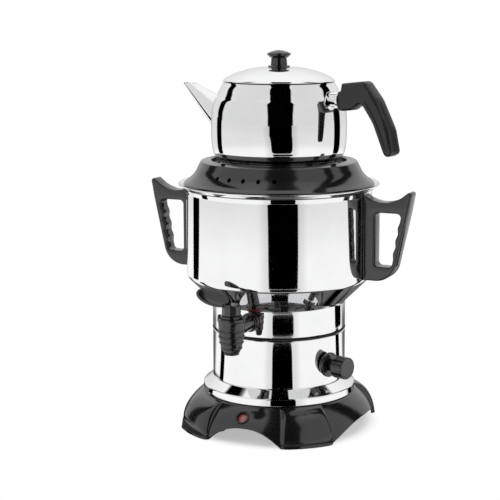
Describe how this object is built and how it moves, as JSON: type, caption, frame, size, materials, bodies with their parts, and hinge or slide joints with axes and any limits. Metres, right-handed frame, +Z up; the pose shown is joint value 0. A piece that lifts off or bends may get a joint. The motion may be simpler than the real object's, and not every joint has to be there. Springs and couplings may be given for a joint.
{
  "type": "electric samovar with teapot",
  "caption": "Electric tea samovar: steel tank on a narrow boiler and a flared plastic base, tap with lever, thermostat knob, side handles, vented neck cover, and a lidded teapot on top.",
  "frame": {"origin": "middle of the footprint on the surface it stands on, side handles and tap included; the vessels' upright axis is 14.3 mm behind it", "axes": "+Z up, -Y towards the front where the tap is, +X towards the side of the thermostat knob and the teapot's handle"},
  "size_m": [0.3368, 0.2658, 0.447],
  "materials": {
    "polished_steel": "mirror polished stainless steel",
    "gloss_black": "glossy moulded plastic",
    "matte_black": "satin moulded plastic",
    "rubber": "matt black rubber",
    "dark_red": "matt dark red silicone",
    "red_lens": "translucent red, glossy",
    "brass": "turned brass",
    "zinc": "zinc plated steel",
    "ceramic": "unglazed steatite"
  },
  "bodies": {
    "base": {"base_shell": "gloss_black", "rubber_foot_front_right": "rubber", "rubber_foot_back_right": "rubber", "rubber_foot_back_left": "rubber", "rubber_foot_front_left": "rubber", "bottom_plate": "matte_black", "bottom_screw_right": "zinc", "bottom_screw_left": "zinc", "housing_screw_front_right": "zinc", "housing_screw_back_right": "zinc", "housing_screw_back_left": "zinc", "housing_screw_front_left": "zinc", "lower_housing": "polished_steel", "pilot_lamp_holder": "matte_black", "pilot_lamp_lens": "red_lens", "power_inlet": "matte_black", "inlet_pin_live": "zinc", "inlet_pin_earth": "zinc", "inlet_pin_neutral": "zinc", "terminal_block": "ceramic", "seam_gasket": "rubber", "tank": "polished_steel", "stud_nut_1": "zinc", "stud_nut_2": "zinc", "stud_nut_3": "zinc", "heating_element": "zinc", "element_seal": "rubber", "element_nut_left": "brass", "element_nut_right": "brass", "thermal_cutout": "ceramic", "side_handle_right": "gloss_black", "side_handle_left": "gloss_black", "handle_bolt_right_low": "zinc", "handle_bolt_right_high": "zinc", "handle_bolt_left_low": "zinc", "handle_bolt_left_high": "zinc", "thermostat_body": "ceramic", "thermostat_nut": "zinc", "thermostat_bezel": "gloss_black", "tap_body": "gloss_black", "tap_bonnet": "gloss_black", "tap_washer": "dark_red", "tap_inner_washer": "rubber", "tap_nut": "brass"},
    "tap_lever": {"tap_lever": "gloss_black", "tap_plug": "brass"},
    "thermostat_knob": {"thermostat_knob": "gloss_black", "thermostat_shaft": "zinc"},
    "neck_cover": {"neck_cover": "gloss_black"},
    "teapot": {"teapot_body": "polished_steel", "teapot_spout": "polished_steel", "handle_ferrule": "polished_steel", "handle_stud": "zinc", "teapot_handle": "matte_black"},
    "lid": {"teapot_lid": "polished_steel", "lid_knob": "gloss_black", "knob_screw": "zinc"}
  },
  "joints": [
    {"name": "tap_lever_turn", "type": "hinge", "parent": "base", "child": "tap_lever", "pos_m": [0, -0.1171, 0.16], "axis": [0, 0, 1], "range_deg": [0, 90]},
    {"name": "thermostat_turn", "type": "hinge", "parent": "base", "child": "thermostat_knob", "pos_m": [0.09206, -0.01601, 0.0828], "axis": [-0.9511, 0.309, 0], "range_deg": [0, 270]},
    {"name": "cover_lift", "type": "slide", "parent": "base", "child": "neck_cover", "axis": [0, 0, 1], "range_m": [0, 0.12]},
    {"name": "teapot_lift", "type": "slide", "parent": "neck_cover", "child": "teapot", "axis": [0, 0, 1], "range_m": [0, 0.12]},
    {"name": "lid_lift", "type": "slide", "parent": "teapot", "child": "lid", "axis": [0, 0, 1], "range_m": [0, 0.08]}
  ]
}
